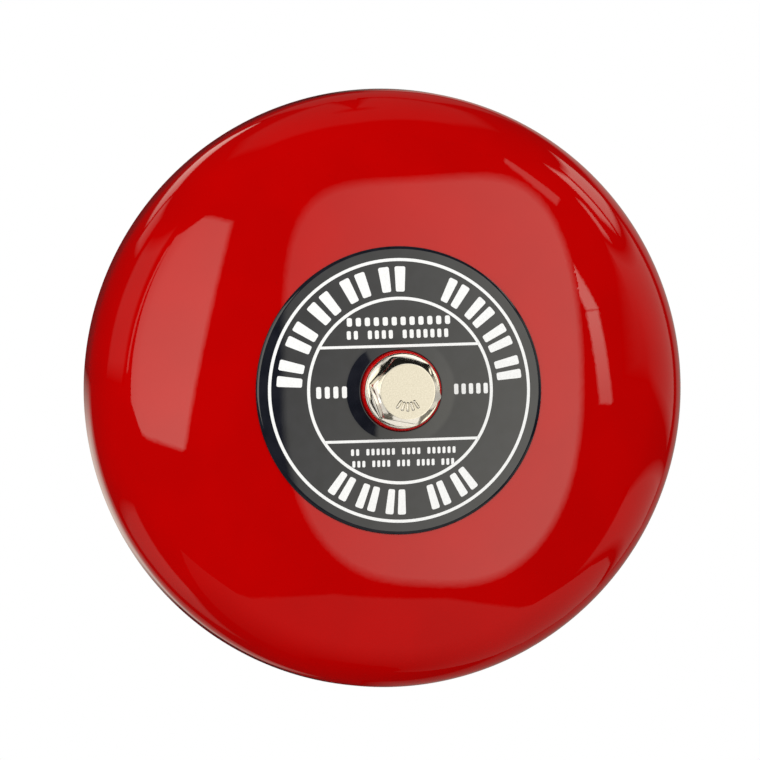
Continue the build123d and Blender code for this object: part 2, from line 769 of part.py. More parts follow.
def on_wall(drawn):
    """Stand a drawn piece, or a list of them, up in the object's frame."""
    shapes = drawn if isinstance(drawn, list) else [drawn]
    return [solid for shape in shapes for solid in (WALL.location * shape).solids()]


os.makedirs("parts", exist_ok=True)
for name, make in PIECES.items():
    solids = on_wall(make())
    whole = solids[0] if len(solids) == 1 else Compound(solids)
    export_step(whole, f"parts/{name}.step")
    print(name, len(solids))
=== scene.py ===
import json
import math

import bmesh
import bpy
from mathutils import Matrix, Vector


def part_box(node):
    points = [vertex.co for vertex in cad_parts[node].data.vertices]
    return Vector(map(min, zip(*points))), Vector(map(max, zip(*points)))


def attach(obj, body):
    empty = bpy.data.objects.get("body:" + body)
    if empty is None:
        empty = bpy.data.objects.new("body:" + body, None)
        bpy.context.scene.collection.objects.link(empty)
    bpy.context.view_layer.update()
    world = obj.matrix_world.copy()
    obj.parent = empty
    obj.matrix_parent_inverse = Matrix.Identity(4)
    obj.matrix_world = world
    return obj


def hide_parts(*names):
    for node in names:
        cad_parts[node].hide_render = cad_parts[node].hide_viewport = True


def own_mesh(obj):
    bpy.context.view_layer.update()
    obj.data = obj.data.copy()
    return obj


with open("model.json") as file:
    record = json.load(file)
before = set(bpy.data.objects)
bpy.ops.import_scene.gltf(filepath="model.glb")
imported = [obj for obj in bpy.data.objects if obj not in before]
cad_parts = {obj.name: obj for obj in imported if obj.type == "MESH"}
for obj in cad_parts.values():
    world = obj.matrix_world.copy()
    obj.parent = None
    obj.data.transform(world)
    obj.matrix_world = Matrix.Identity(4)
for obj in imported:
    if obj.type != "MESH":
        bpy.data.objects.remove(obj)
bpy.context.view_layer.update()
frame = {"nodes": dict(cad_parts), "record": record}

scene = bpy.context.scene

# Sizes are in millimetres, and at() turns them into metres. The bell's axis is the row's Y axis:
# a place is given by its distance to the right, its distance up and its height out of the wall.
MM = 0.001

# ---------------------------------------------------------------- driving dimensions
GONG_LOW, GONG_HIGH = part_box("gong")
RIM_RADIUS = GONG_HIGH[0] / MM
BOSS_TOP = -GONG_LOW[1] / MM
GONG_WALL = 1.6
LIP = GONG_WALL / 2
RIM_HEIGHT = -GONG_HIGH[1] / MM + LIP
SKIRT_LENGTH = 8.0
SKIRT_SLOPE = math.radians(3.0)
DOME_RADIUS = 200.0
SHOULDER_RADIUS = 16.0
SHOULDER_TURN = math.pi / 2 - SKIRT_SLOPE
SHOULDER_OUT = RIM_RADIUS - SKIRT_LENGTH * math.tan(SKIRT_SLOPE) - SHOULDER_RADIUS * math.sin(SHOULDER_TURN)
SHOULDER_UP = RIM_HEIGHT + SKIRT_LENGTH - SHOULDER_RADIUS * math.cos(SHOULDER_TURN)
DOME_TURN = math.asin(SHOULDER_OUT / (DOME_RADIUS - SHOULDER_RADIUS))
DOME_CENTRE = SHOULDER_UP - (DOME_RADIUS - SHOULDER_RADIUS) * math.cos(DOME_TURN)
BOSS_RADIUS = 9.8
BOSS_EDGE = 0.5
GONG_BORE = 4.4
FLARE_START = 13.5
FLARE_SLOPE = math.tan(math.radians(9.5))
FLARE_BLEND = 0.4
FLARE_CLEAR = FLARE_START + 1.0
LABEL_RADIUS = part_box("label_disc")[1][0] / MM
LABEL_HOLE = 10.0
LABEL_THICK = 0.4
WASHER_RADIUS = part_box("bolt_washer")[1][0] / MM
WASHER_TOP = -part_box("bolt_washer")[0][1] / MM
HEAD_TOP = -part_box("hex_bolt")[0][1] / MM
SHANK_END = -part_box("hex_bolt")[1][1] / MM
FLANGE_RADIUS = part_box("hex_bolt")[1][0] / MM
FLANGE_EDGE = 0.9
FLANGE_RISE = 1.3
HEX_FLATS = 15.0
HEAD_FLAT_RADIUS = 6.75
HEX_TURN = math.radians(-10.0)
THREAD_PITCH = 1.25
THREAD_RADIUS = 3.98
THREAD_DEPTH = 0.68


def at(right, up, out):
    """Point of the row frame, in metres, from millimetres on the wall and out of it."""
    return (right * MM, -out * MM, up * MM)


# ---------------------------------------------------------------- mesh helpers
def piece(name, verts, faces, body, slot, material, crease=35.0):
    """Smooth-shaded mesh that rides on a body, with its faces turned outward."""
    mesh = bpy.data.meshes.new(name)
    mesh.from_pydata(verts, [], faces)
    work = bmesh.new()
    work.from_mesh(mesh)
    bmesh.ops.remove_doubles(work, verts=work.verts, dist=1e-7)
    bmesh.ops.recalc_face_normals(work, faces=work.faces)
    work.to_mesh(mesh)
    work.free()
    mesh.shade_smooth()
    mesh.set_sharp_from_angle(angle=math.radians(crease))
    mesh.materials.append(material)
    obj = bpy.data.objects.new(name, mesh)
    scene.collection.objects.link(obj)
    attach(obj, body)
    return obj


def lathe(outline, segments=256, closed=True, shape=None):
    """Turn a run of (radius, height) points about an axis that stands out of the wall.

    shape, if given, takes the point's index, radius, height and turn and returns a new radius and
    height, for threads and hexagons.
    """
    verts, faces = [], []
    count = len(outline)
    for step in range(segments):
        turn = 2 * math.pi * step / segments
        for index, (radius, height) in enumerate(outline):
            if shape:
                radius, height = shape(index, radius, height, turn)
            verts.append(at(radius * math.cos(turn), radius * math.sin(turn), height))
    for step in range(segments):
        here, there = step * count, (step + 1) % segments * count
        for index in range(count if closed else count - 1):
            after = (index + 1) % count
            faces.append((here + index, here + after, there + after, there + index))
    return verts, faces


def rounded(corners, steps=5):
    """Closed outline from (radius, height, fillet) corners, each fillet an arc of a few points."""
    points = []
    for index, (x, y, fillet) in enumerate(corners):
        corner = Vector((x, y))
        before = Vector(corners[index - 1][:2]) - corner
        after = Vector(corners[(index + 1) % len(corners)][:2]) - corner
        if fillet <= 0:
            points.append((x, y))
            continue
        half = before.angle(after) / 2
        reach = min(fillet / math.tan(half), before.length * 0.49, after.length * 0.49)
        middle = (before.normalized() + after.normalized()).normalized()
        radius = reach * math.tan(half)
        centre = corner + middle * (radius / math.sin(half))
        start = corner + before.normalized() * reach - centre
        end = corner + after.normalized() * reach - centre
        sweep = math.atan2(start.x * end.y - start.y * end.x, start.dot(end))
        for step in range(steps + 1):
            turn = sweep * step / steps
            points.append((
                centre.x + start.x * math.cos(turn) - start.y * math.sin(turn),
                centre.y + start.x * math.sin(turn) + start.y * math.cos(turn),
            ))
    return points


def flare(radius):
    """Rise of the dome's outer face where it turns up to meet the boss, with a soft start."""
    ahead = FLARE_START - radius
    if ahead >= FLARE_BLEND:
        return FLARE_SLOPE * ahead
    return FLARE_SLOPE * max(0.0, ahead + FLARE_BLEND) ** 2 / (4 * FLARE_BLEND)


def dome_height(radius, inset=0.0):
    """Height of the dome at a distance from the axis, inset towards the wall or raised off it."""
    height = DOME_CENTRE + math.sqrt((DOME_RADIUS - inset) ** 2 - radius * radius)
    return height if inset > 0 else height + flare(radius)


def dome_run(start, end, inset, steps):
    """Points along the dome between two distances from the axis."""
    radii = [start + (end - start) * step / steps for step in range(steps + 1)]
    return [(radius, dome_height(radius, inset)) for radius in radii]


def shoulder_run(start, end, inset, steps):
    """Points along the round shoulder between two turns of the surface."""
    turns = [start + (end - start) * step / steps for step in range(steps + 1)]
    reach = SHOULDER_RADIUS - inset
    return [(SHOULDER_OUT + reach * math.sin(turn), SHOULDER_UP + reach * math.cos(turn)) for turn in turns]


# ---------------------------------------------------------------- material helpers
class Shader:
    """A material whose Principled shader is fed by named procedural nodes."""

    def __init__(self, name, **settings):
        self.material = bpy.data.materials.new(name)
        self.material.use_nodes = True
        self.nodes = self.material.node_tree.nodes
        self.links = self.material.node_tree.links
        self.surface = self.nodes["Principled BSDF"]
        for key, value in settings.items():
            self.surface.inputs[key.replace("_", " ")].default_value = value
        self.place = self.nodes.new("ShaderNodeTexCoord").outputs["Object"]

    def stretched(self, scale):
        """Object coordinates scaled by a different number along each axis."""
        mapping = self.nodes.new("ShaderNodeMapping")
        mapping.inputs["Scale"].default_value = scale
        self.links.new(self.place, mapping.inputs["Vector"])
        return mapping.outputs["Vector"]

    def noise(self, scale, detail=3.0, rough=0.5, vector=None):
        """Noise in the object's own space; scale is in features for each metre."""
        node = self.nodes.new("ShaderNodeTexNoise")
        node.inputs["Scale"].default_value = scale
        node.inputs["Detail"].default_value = detail
        node.inputs["Roughness"].default_value = rough
        self.links.new(vector or self.place, node.inputs["Vector"])
        return node.outputs["Fac"]

    def spread(self, factor, low, high, start=0.35, end=0.65):
        """Map a factor between start and end onto numbers between low and high."""
        node = self.nodes.new("ShaderNodeMapRange")
        node.inputs["From Min"].default_value = start
        node.inputs["From Max"].default_value = end
        node.inputs["To Min"].default_value = low
        node.inputs["To Max"].default_value = high
        self.links.new(factor, node.inputs["Value"])
        return node.outputs["Result"]

    def colours(self, factor, first, second, start=0.35, end=0.65):
        """Blend two colours by a factor, as the base colour."""
        node = self.nodes.new("ShaderNodeValToRGB")
        node.color_ramp.elements[0].position = start
        node.color_ramp.elements[0].color = (*first, 1.0)
        node.color_ramp.elements[1].position = end
        node.color_ramp.elements[1].color = (*second, 1.0)
        self.links.new(factor, node.inputs["Fac"])
        self.links.new(node.outputs["Color"], self.surface.inputs["Base Color"])

    def roughness(self, factor, low, high):
        """Vary the surface's roughness between two values."""
        self.links.new(self.spread(factor, low, high), self.surface.inputs["Roughness"])

    def relief(self, *layers):
        """Chain bumps from (factor, depth in metres, strength) layers onto the surface and coat."""
        normal = None
        for factor, depth, strength in layers:
            node = self.nodes.new("ShaderNodeBump")
            node.inputs["Strength"].default_value = strength
            node.inputs["Distance"].default_value = depth
            self.links.new(factor, node.inputs["Height"])
            if normal:
                self.links.new(normal, node.inputs["Normal"])
            normal = node.outputs["Normal"]
        self.links.new(normal, self.surface.inputs["Normal"])
        if self.surface.inputs["Coat Weight"].default_value > 0:
            self.links.new(normal, self.surface.inputs["Coat Normal"])


def red_enamel():
    """Glossy red stove enamel: even colour, hard clear gloss, a faint orange peel."""
    made = Shader("red_enamel", Coat_Weight=1.0, Coat_Roughness=0.012, Coat_IOR=1.5, Specular_IOR_Level=0.0)
    made.colours(made.noise(60.0, 2.0), (0.48, 0.0, 0.0), (0.51, 0.0, 0.0))
    made.roughness(made.noise(900.0), 0.38, 0.46)
    made.relief((made.noise(14.0, 1.0), 0.0004, 0.06), (made.noise(520.0, 2.0), 0.00002, 0.10))
    return made.material


def label_film():
    """Glossy near-black film with a little dust in its sheen."""
    made = Shader("label_film", IOR=1.66)
    made.colours(made.noise(300.0), (0.008, 0.009, 0.014), (0.013, 0.014, 0.020))
    made.roughness(made.noise(1400.0, 4.0), 0.015, 0.045)
    made.relief((made.noise(30.0, 1.0), 0.0002, 0.05), (made.noise(2500.0), 0.000004, 0.2))
    return made.material


def white_ink():
    """Screen-printed white ink: solid, slightly chalky, with a grain in its edge."""
    made = Shader("white_ink", Specular_IOR_Level=0.4)
    made.colours(made.noise(2200.0, 4.0), (0.90, 0.90, 0.88), (0.97, 0.97, 0.95))
    made.roughness(made.noise(1500.0), 0.30, 0.42)
    made.relief((made.noise(3000.0), 0.00001, 0.2))
    return made.material


def nickel():
    """Warm nickel plate over a forged surface: small pits and fine polishing marks."""
    made = Shader("nickel_plate", Metallic=1.0)
    made.colours(made.noise(2600.0, 5.0), (0.67, 0.625, 0.54), (0.75, 0.705, 0.62))
    made.roughness(made.noise(1600.0, 4.0), 0.07, 0.15)
    scratches = made.noise(1500.0, 2.0, vector=made.stretched((0.15, 1.0, 2.0)))
    made.relief((made.noise(700.0, 4.0, 0.6), 0.00002, 0.2), (scratches, 0.000008, 0.15))
    return made.material


def plated_steel(name, first, second, low, high):
    """Bare or zinc-plated steel with fine turning marks."""
    made = Shader(name, Metallic=1.0)
    made.colours(made.noise(250.0, 4.0), first, second)
    made.roughness(made.noise(900.0, 3.0), low, high)
    marks = made.noise(700.0, 2.0, vector=made.stretched((0.2, 4.0, 0.2)))
    made.relief((marks, 0.00003, 0.3))
    return made.material


def powder_coat():
    """Satin black powder coat with its fine orange-peel texture and slightly lighter high spots."""
    made = Shader("powder_coat", Specular_IOR_Level=0.5)
    made.colours(made.noise(900.0, 4.0), (0.024, 0.024, 0.026), (0.042, 0.042, 0.045))
    made.roughness(made.noise(500.0, 3.0), 0.30, 0.44)
    made.relief((made.noise(1500.0, 3.0), 0.00005, 0.5))
    return made.material


def moulded(name, first, second, low=0.35, high=0.5):
    """Moulded plastic with a fine spark-eroded grain."""
    made = Shader(name, Specular_IOR_Level=0.45)
    made.colours(made.noise(400.0, 3.0), first, second)
    made.roughness(made.noise(700.0), low, high)
    made.relief((made.noise(2200.0, 2.0), 0.00003, 0.35))
    return made.material


def rubber():
    """Matt black rubber with a dusty bloom."""
    made = Shader("neoprene", Specular_IOR_Level=0.3)
    made.colours(made.noise(500.0, 4.0), (0.012, 0.012, 0.012), (0.030, 0.030, 0.029))
    made.roughness(made.noise(300.0), 0.7, 0.85)
    made.relief((made.noise(1800.0, 4.0), 0.00004, 0.4))
    return made.material


def laminations():
    """Stacked steel laminations, seen as fine dark lines across the shaft's direction."""
    made = Shader("laminations", Metallic=0.9)
    wave = made.nodes.new("ShaderNodeTexWave")
    wave.bands_direction = "Y"
    wave.inputs["Scale"].default_value = 900.0
    made.links.new(made.place, wave.inputs["Vector"])
    made.colours(wave.outputs["Fac"], (0.16, 0.16, 0.17), (0.40, 0.40, 0.42), 0.2, 0.8)
    made.roughness(made.noise(800.0), 0.35, 0.5)
    made.relief((wave.outputs["Fac"], 0.00005, 0.4))
    return made.material


def wound_copper():
    """Enamelled copper wire laid in turns."""
    made = Shader("wound_copper", Metallic=0.9)
    wave = made.nodes.new("ShaderNodeTexWave")
    wave.bands_direction = "DIAGONAL"
    wave.inputs["Scale"].default_value = 1100.0
    made.links.new(made.place, wave.inputs["Vector"])
    made.colours(wave.outputs["Fac"], (0.45, 0.13, 0.05), (0.85, 0.40, 0.20), 0.1, 0.9)
    made.roughness(made.noise(900.0), 0.22, 0.34)
    made.relief((wave.outputs["Fac"], 0.00008, 0.6))
    return made.material


ENAMEL = red_enamel()
FILM = label_film()
INK = white_ink()
NICKEL = nickel()
TURNED_STEEL = plated_steel("turned_steel", (0.50, 0.50, 0.51), (0.66, 0.66, 0.67), 0.22, 0.36)
MATERIALS = {
    "gong_paint": ENAMEL,
    "label_print": FILM,
    "bolt_nickel": NICKEL,
    "housing_paint": powder_coat(),
    "cover_plastic": moulded("cover_moulding", (0.028, 0.028, 0.030), (0.042, 0.042, 0.045)),
    "cap_plastic": moulded("natural_nylon", (0.62, 0.60, 0.54), (0.72, 0.70, 0.64)),
    "gasket_rubber": rubber(),
    "post_steel": TURNED_STEEL,
    "zinc_steel": plated_steel("zinc_plate", (0.58, 0.60, 0.62), (0.74, 0.74, 0.70), 0.20, 0.34),
    "motor_steel": plated_steel("drawn_steel", (0.52, 0.53, 0.55), (0.64, 0.65, 0.67), 0.26, 0.38),
    "bronze": plated_steel("sintered_bronze", (0.42, 0.27, 0.12), (0.60, 0.42, 0.20), 0.38, 0.55),
    "magnet_ferrite": moulded("ferrite", (0.05, 0.05, 0.055), (0.09, 0.09, 0.10), 0.6, 0.75),
    "copper": wound_copper(),
    "tinned_brass": plated_steel("tinned_brass", (0.62, 0.56, 0.42), (0.78, 0.74, 0.62), 0.25, 0.4),
    "core_steel": laminations(),
    "cam_nylon": moulded("white_acetal", (0.74, 0.72, 0.67), (0.82, 0.80, 0.75), 0.28, 0.4),
    "tip_steel": plated_steel("hardened_steel", (0.30, 0.30, 0.32), (0.50, 0.50, 0.52), 0.18, 0.3),
    "spring_steel": plated_steel("spring_wire", (0.42, 0.42, 0.44), (0.60, 0.60, 0.62), 0.2, 0.32),
    "board_laminate": moulded("solder_mask", (0.008, 0.09, 0.035), (0.014, 0.13, 0.05), 0.22, 0.32),
    "terminal_plastic": moulded("green_moulding", (0.02, 0.20, 0.08), (0.03, 0.26, 0.11)),
    "part_black": moulded("black_epoxy", (0.010, 0.010, 0.011), (0.022, 0.022, 0.023), 0.3, 0.42),
    "capacitor_sleeve": moulded("blue_sleeve", (0.010, 0.018, 0.075), (0.018, 0.028, 0.11), 0.2, 0.3),
    "varistor_blue": moulded("blue_lacquer", (0.015, 0.08, 0.25), (0.025, 0.12, 0.33), 0.18, 0.3),
    "lead_red": moulded("red_insulation", (0.42, 0.010, 0.010), (0.52, 0.018, 0.016), 0.4, 0.5),
    "lead_black": moulded("black_insulation", (0.012, 0.012, 0.012), (0.02, 0.02, 0.02), 0.4, 0.5),
}

EDGE_SHARE = 0.06
EDGE_LIMITS = (0.05, 0.35)
REPLACED = ("gong", "label_disc", "bolt_washer", "hex_bolt", "return_spring")


def soften_edges(node, width):
    """Give a carried-over part small rounded edges, which catch the light as worn ones do."""
    weld = node.modifiers.new("weld", "WELD")
    weld.merge_threshold = 0.002 * MM
    flatten = node.modifiers.new("flatten", "DECIMATE")
    flatten.decimate_type = "DISSOLVE"
    flatten.angle_limit = math.radians(0.5)
    bevel = node.modifiers.new("rounded_edges", "BEVEL")
    bevel.width = width * MM
    bevel.segments = 2
    bevel.limit_method = "ANGLE"
    bevel.angle_limit = math.radians(40.0)
    bevel.harden_normals = True


for part in frame["record"]["subparts"]:
    node = frame["nodes"][part["node"]]
    node.data.materials.clear()
    node.data.materials.append(MATERIALS[part["material_slot"]])
    if part["node"] not in REPLACED:
        low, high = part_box(part["node"])
        thinnest = min(high - low) / MM
        soften_edges(node, min(max(thinnest * EDGE_SHARE, EDGE_LIMITS[0]), EDGE_LIMITS[1]))


# ---------------------------------------------------------------- gong
def gong_outline():
    """Whole section of the gong: boss, dome, shoulder, skirt, rounded rim and back inside."""
    boss_inner = BOSS_RADIUS - GONG_WALL
    boss_under = BOSS_TOP - GONG_WALL
    blend = 0.4
    foot = BOSS_RADIUS + blend
    boss = rounded([
        (GONG_BORE, boss_under, 0.15),
        (GONG_BORE, BOSS_TOP, 0.25),
        (BOSS_RADIUS, BOSS_TOP, BOSS_EDGE),
        (BOSS_RADIUS, dome_height(BOSS_RADIUS), 0.2),
        (foot, dome_height(foot), 0.0),
    ])[:-1]
    outside = dome_run(foot, FLARE_CLEAR, 0.0, 14)
    outside += dome_run(FLARE_CLEAR, SHOULDER_OUT + SHOULDER_RADIUS * math.sin(DOME_TURN), 0.0, 44)[1:]
    outside += shoulder_run(DOME_TURN, SHOULDER_TURN, 0.0, 36)[1:]
    lip_centre = RIM_RADIUS - LIP
    lip = [
        (lip_centre + LIP * math.cos(turn), RIM_HEIGHT - LIP * math.sin(turn))
        for turn in [math.pi * step / 10 for step in range(11)]
    ]
    inside = shoulder_run(SHOULDER_TURN, DOME_TURN, GONG_WALL, 24)
    inner_end = SHOULDER_OUT + (SHOULDER_RADIUS - GONG_WALL) * math.sin(DOME_TURN)
    inside += dome_run(inner_end, boss_inner, GONG_WALL, 24)[1:]
    recess = [(boss_inner, boss_under - blend), (boss_inner - blend, boss_under)]
    return boss + outside + lip + inside + recess


gong = piece("gong_shell", *lathe(gong_outline(), 320), "gong_shell", "gong_paint", ENAMEL)
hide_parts("gong")


# ---------------------------------------------------------------- label
def label_outline():
    """Section of the label: it lies on the dome and has rounded edges."""
    edge = 0.12
    top = dome_run(LABEL_HOLE + edge, FLARE_CLEAR, -LABEL_THICK, 16)
    top += dome_run(FLARE_CLEAR, LABEL_RADIUS - edge, -LABEL_THICK, 26)[1:]
    under = dome_run(LABEL_RADIUS, LABEL_HOLE, 0.0, 24)
    outer = [(LABEL_RADIUS, dome_height(LABEL_RADIUS, -LABEL_THICK) - edge)]
    inner = [(LABEL_HOLE, dome_height(LABEL_HOLE, -LABEL_THICK) - edge)]
    return top + outer + under + inner


label = piece("label_film", *lathe(label_outline(), 192), "gong_shell", "label_print", FILM, 60.0)
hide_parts("label_disc")

# Print on the label. The rings and rules are the label's layout. It has no words or figures: pairs
# of bars stand for the bold ones, and rows of short strokes for the small print.
LABEL_TURN = math.radians(1.5)
INK_THICK = 0.035
INK_SUNK = -0.05
OUTER_RULE = 32.2
INNER_RULE = 22.7
RULE_WIDTH = 0.75
UPPER_RULE_Y = 11.0
LOWER_RULE_Y = -12.2
BAR_CIRCLE = 27.45
BAR_TALL = 6.2
BAR_SHARE = 0.26
BAR_OFFSET = 0.2
BAR_FILLET = 0.4
STROKE_SHARE = 0.58
CORNER_STEPS = 3


def on_label(right, up, lift):
    """Point on the label's face, turned with the label and lifted off it."""
    x = right * math.cos(LABEL_TURN) - up * math.sin(LABEL_TURN)
    y = right * math.sin(LABEL_TURN) + up * math.cos(LABEL_TURN)
    return at(x, y, dome_height(math.hypot(x, y), -LABEL_THICK) + lift)


def add_ink(verts, faces, wide, tall, place, fillet, cell=1.3):
    """Raised block, wide by tall, with rounded corners; place puts its points on the surface."""
    fillet = min(fillet, wide / 2, tall / 2)
    columns = []
    for step in range(CORNER_STEPS + 1):
        turn = math.pi / 2 * step / CORNER_STEPS
        columns.append((fillet * (1 - math.cos(turn)), tall / 2 - fillet * (1 - math.sin(turn))))
    middle = max(1, round((wide - 2 * fillet) / cell))
    run = columns + [(fillet + (wide - 2 * fillet) * step / middle, tall / 2) for step in range(1, middle)]
    run += [(wide - along, half) for along, half in reversed(columns)]
    across = max(1, round(tall / cell))
    levels = [(2.0 * step / across - 1.0, INK_THICK) for step in range(across + 1)]
    levels = [(-1.0, INK_SUNK)] + levels + [(1.0, INK_SUNK)]
    base, count = len(verts), len(levels)
    for along, half in run:
        for share, lift in levels:
            verts.append(place(along - wide / 2, half * share, lift))
    for column in range(len(run) - 1):
        here = base + column * count
        for index in range(count):
            after = (index + 1) % count
            faces.append((here + index, here + after, here + count + after, here + count + index))
    faces.append(tuple(range(base, base + count)))
    faces.append(tuple(range(base + (len(run) - 1) * count, base + len(run) * count)))


def level(right, up):
    """Placing of a block that lies level on the label, by its middle."""
    return lambda x, y, lift: on_label(right + x, up + y, lift)


def bent(angle, radius, facing):
    """Placing of a block that follows a circle on the label; facing is 1 for a block read from below."""
    def place(x, y, lift):
        turn = math.radians(angle) - facing * x / radius
        reach = radius + facing * y
        return on_label(reach * math.cos(turn), reach * math.sin(turn), lift)
    return place


def ring_ink(verts, faces, radius, segments):
    """Raised ring of ink about the bell's axis."""
    half = RULE_WIDTH / 2
    section = ((-half, INK_SUNK), (-half, INK_THICK), (half, INK_THICK), (half, INK_SUNK))
    base = len(verts)
    for step in range(segments):
        turn = 2 * math.pi * step / segments
        for out, lift in section:
            verts.append(on_label((radius + out) * math.cos(turn), (radius + out) * math.sin(turn), lift))
    for step in range(segments):
        here, there = base + step * 4, base + (step + 1) % segments * 4
        for index in range(4):
            after = (index + 1) % 4
            faces.append((here + index, here + after, there + after, there + index))


def arc_group(verts, faces, start, end, marks, facing):
    """Pairs of bold bars, evenly spaced along the ring between two angles."""
    pitch = abs(math.radians(end - start)) * BAR_CIRCLE / marks
    for mark in range(marks):
        angle = start + (end - start) * (mark + 0.5) / marks
        for side in (-1, 1):
            beside = math.degrees(side * pitch * BAR_OFFSET / BAR_CIRCLE)
            place = bent(angle + beside, BAR_CIRCLE, facing)
            add_ink(verts, faces, pitch * BAR_SHARE, BAR_TALL, place, BAR_FILLET)


def text_line(verts, faces, left, right, up, tall, words):
    """Short upright strokes in groups, filling one line of small print from left to right."""
    pitch = (right - left) / (sum(words) + len(words) - 1)
    place = left
    for word in words:
        for stroke in range(word):
            middle = place + (stroke + 0.5) * pitch
            add_ink(verts, faces, pitch * STROKE_SHARE, tall, level(middle, up), pitch * 0.2)
        place += (word + 1) * pitch


def label_print():
    """All of the label's ink as one mesh."""
    verts, faces = [], []
    ring_ink(verts, faces, OUTER_RULE, 240)
    ring_ink(verts, faces, INNER_RULE, 200)
    for up in (UPPER_RULE_Y, LOWER_RULE_Y):
        reach = math.sqrt(INNER_RULE ** 2 - up ** 2)
        add_ink(verts, faces, 2 * reach, RULE_WIDTH * 0.9, level(0.0, up), 0.05)
    arc_group(verts, faces, 180.0, 82.5, 5, 1)
    arc_group(verts, faces, 67.0, 1.5, 4, 1)
    arc_group(verts, faces, 230.0, 274.0, 3, -1)
    arc_group(verts, faces, 281.5, 311.0, 2, -1)
    text_line(verts, faces, -13.3, 13.3, 17.1, 2.1, (12,))
    text_line(verts, faces, -13.3, 12.6, 13.9, 2.1, (2, 4, 7))
    text_line(verts, faces, -21.3, -12.9, 0.0, 2.9, (4,))
    text_line(verts, faces, 12.9, 22.2, 0.0, 2.6, (5,))
    text_line(verts, faces, -12.9, 13.6, -14.9, 1.6, (2, 6, 4, 6))
    text_line(verts, faces, -12.6, 13.2, -17.8, 1.6, (3, 4, 3, 4, 3))
    return verts, faces


piece("label_print", *label_print(), "gong_shell", "label_print", INK, 50.0)


# ---------------------------------------------------------------- washer and bolt
WASHER_BORE = 4.3
WASHER_CLEAR = 0.02
washer_under = BOSS_TOP + WASHER_CLEAR
washer_over = WASHER_TOP - WASHER_CLEAR
washer = piece(
    "thin_washer",
    *lathe(rounded([
        (WASHER_BORE, washer_under, 0.1),
        (WASHER_BORE, washer_over, 0.15),
        (WASHER_RADIUS, washer_over, 0.3),
        (WASHER_RADIUS, washer_under, 0.15),
    ]), 192),
    "washer",
    "bolt_nickel",
    NICKEL,
)
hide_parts("bolt_washer")

# The bolt is one run of points from the tip of the shank to the middle of the head. A point is
# plain, on the thread, at the hexagon's foot, on its side, or on its crown.
SHANK_TOP = WASHER_TOP
CHAMFER_SLOPE = math.tan(math.radians(30.0))
FLANGE_SLOPE = (FLANGE_RISE - FLANGE_EDGE) / (FLANGE_RADIUS - HEX_FLATS / 2)
CORNER_WEAR = 0.14
CORNER_LIMIT = HEX_FLATS / math.sqrt(3) - CORNER_WEAR
POINTS_PER_TURN = 8
THREAD_START = SHANK_END + 0.3
THREAD_END = SHANK_TOP - 1.2
THREAD_TAPER = 0.8
GROOVE_HALF = 0.40
TIP_FLAT = THREAD_RADIUS - 1.1
TIP_EDGE = THREAD_RADIUS - 0.9

# Runs of points along the hexagon: how far each is from its side, and how far from its foot or its
# top. They round its foot into the flange, and its side over into the chamfer.
FOOT_RUN = ((0.14, 0.0), (0.05, 0.04), (0.0, 0.14), (0.0, 0.35))
SIDE_RUN = ((0.0, 0.35), (0.0, 0.12))
CROWN_RUN = ((0.0, 0.06), (0.05, 0.0), (0.35, 0.0))


def hex_radius(turn):
    """Distance from the axis to the hexagon's side, its corners worn slightly round."""
    across = (turn - HEX_TURN) % (math.pi / 3) - math.pi / 6
    return min(HEX_FLATS / 2 / math.cos(across), CORNER_LIMIT)


def flange_height(radius):
    """Height of the flange's sloping face."""
    return WASHER_TOP + FLANGE_EDGE + (FLANGE_RADIUS - radius) * FLANGE_SLOPE


def bolt_points():
    """(kind, radius, height) points of the bolt's section."""
    points = [("plain", 0.0, SHANK_END), ("plain", TIP_FLAT, SHANK_END)]
    points.append(("plain", TIP_EDGE, SHANK_END + 0.15))
    length = THREAD_END - THREAD_START
    steps = round(length / THREAD_PITCH * POINTS_PER_TURN)
    for step in range(steps + 1):
        points.append(("thread", THREAD_RADIUS, THREAD_START + length * step / steps))
    points.append(("plain", THREAD_RADIUS - 0.1, SHANK_TOP - 0.5))
    points.append(("plain", THREAD_RADIUS, SHANK_TOP))
    edge = rounded([
        (THREAD_RADIUS, SHANK_TOP, 0.0),
        (FLANGE_RADIUS, SHANK_TOP, 0.2),
        (FLANGE_RADIUS, WASHER_TOP + FLANGE_EDGE, 0.25),
        (FLANGE_RADIUS - 0.15, flange_height(FLANGE_RADIUS - 0.15), 0.0),
    ])[1:]
    points += [("plain", radius, height) for radius, height in edge]
    for kind, run in (("foot", FOOT_RUN), ("side", SIDE_RUN), ("crown", CROWN_RUN)):
        points += [(kind, across, along) for across, along in run]
    points.append(("plain", HEAD_FLAT_RADIUS + 0.12, HEAD_TOP - 0.05))
    points.append(("plain", HEAD_FLAT_RADIUS - 0.05, HEAD_TOP))
    points += [("plain", HEAD_FLAT_RADIUS * share, HEAD_TOP) for share in (0.96, 0.7, 0.35, 0.0)]
    return points


BOLT_POINTS = bolt_points()


def thread_radius(height, turn):
    """Radius of a right-hand thread with a flat crest, fading out at both ends."""
    phase = ((height - SHANK_END) / THREAD_PITCH - turn / (2 * math.pi)) % 1.0
    groove = max(0.0, 1.0 - abs(phase - 0.5) / GROOVE_HALF)
    fade = min(1.0, max(0.0, (THREAD_END - height) / THREAD_PITCH))
    lead = min(1.0, (height - THREAD_START) / THREAD_PITCH)
    crest = THREAD_RADIUS - (1.0 - lead) * THREAD_TAPER
    return min(crest, THREAD_RADIUS - THREAD_DEPTH * groove * fade)


